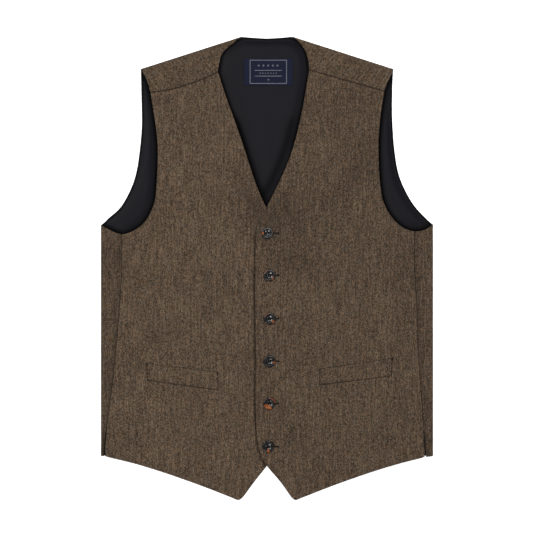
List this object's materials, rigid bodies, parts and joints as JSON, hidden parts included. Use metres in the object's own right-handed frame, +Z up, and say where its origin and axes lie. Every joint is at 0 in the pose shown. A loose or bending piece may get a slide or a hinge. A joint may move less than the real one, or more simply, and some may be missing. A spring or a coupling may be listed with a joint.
{
  "type": "suit waistcoat",
  "caption": "Suit waistcoat in brown tweed, laid flat: V neck, pointed fronts lapped and buttoned, welt pockets, forward shoulder seams, dark lining.",
  "frame": {"origin": "middle of the outline, on the surface the waistcoat lies on", "axes": "+Y from hem to neck, +X to the wearer's left, +Z up out of the fronts"},
  "size_m": [0.498, 0.695, 0.0112],
  "materials": {
    "tweed": "matt brown tweed with dark, tan and rare orange flecks",
    "lining": "near-black woven lining with a soft sheen",
    "label_cloth": "navy woven label with a pale frame",
    "horn": "polished near-black horn with amber marbling"
  },
  "bodies": {
    "root": {"back": "tweed", "back_lining": "lining", "front_left": "tweed", "front_right": "tweed", "welt_left": "tweed", "welt_right": "tweed", "label": "label_cloth", "button_1": "horn", "button_2": "horn", "button_3": "horn", "button_4": "horn", "button_5": "horn", "button_6": "horn"}
  },
  "joints": []
}
